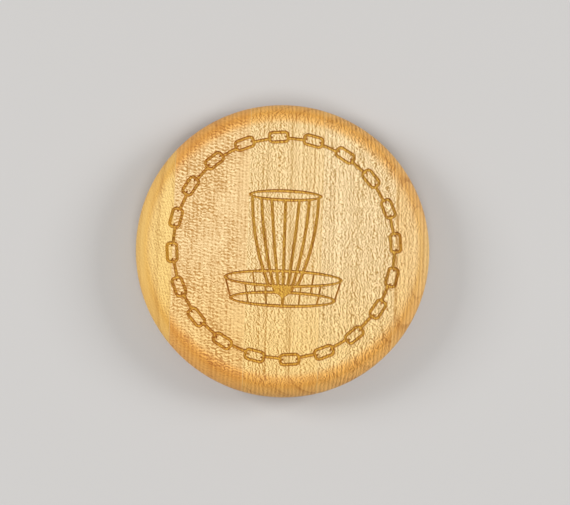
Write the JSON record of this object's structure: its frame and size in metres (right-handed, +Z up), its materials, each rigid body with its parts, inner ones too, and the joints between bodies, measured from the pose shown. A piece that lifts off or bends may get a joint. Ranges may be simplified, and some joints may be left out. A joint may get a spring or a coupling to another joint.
{
  "type": "dealer button",
  "caption": "Round, flat dealer button of edge-glued maple staves with a half-round rim, an engraved chain border and an engraved basket emblem.",
  "frame": {"origin": "centre of the flat underside, on the table plane", "axes": "+Z up, out of the engraved face; +Y along the grain, towards the top of the emblem; +X towards the emblem's right"},
  "size_m": [0.0762, 0.0762, 0.0127],
  "materials": {
    "maple_yellow": "oiled maple with a smooth straight grain, satin",
    "maple_quartersawn": "oiled quarter-sawn maple with ray flecks, satin",
    "maple_straight": "oiled flat-sawn maple with fine dashes along the grain, satin",
    "maple_pale": "oiled flat-sawn maple, the palest, satin",
    "maple_tan": "oiled rift-sawn maple, a little browner, satin",
    "dried_glue": "dried wood glue in a tight joint"
  },
  "bodies": {
    "root": {"stave_outer_left": "maple_yellow", "stave_inner_left": "maple_quartersawn", "stave_centre": "maple_straight", "stave_inner_right": "maple_pale", "stave_outer_right": "maple_tan", "glue_line_outer_left": "dried_glue", "glue_line_inner_left": "dried_glue", "glue_line_inner_right": "dried_glue", "glue_line_outer_right": "dried_glue"}
  },
  "joints": []
}
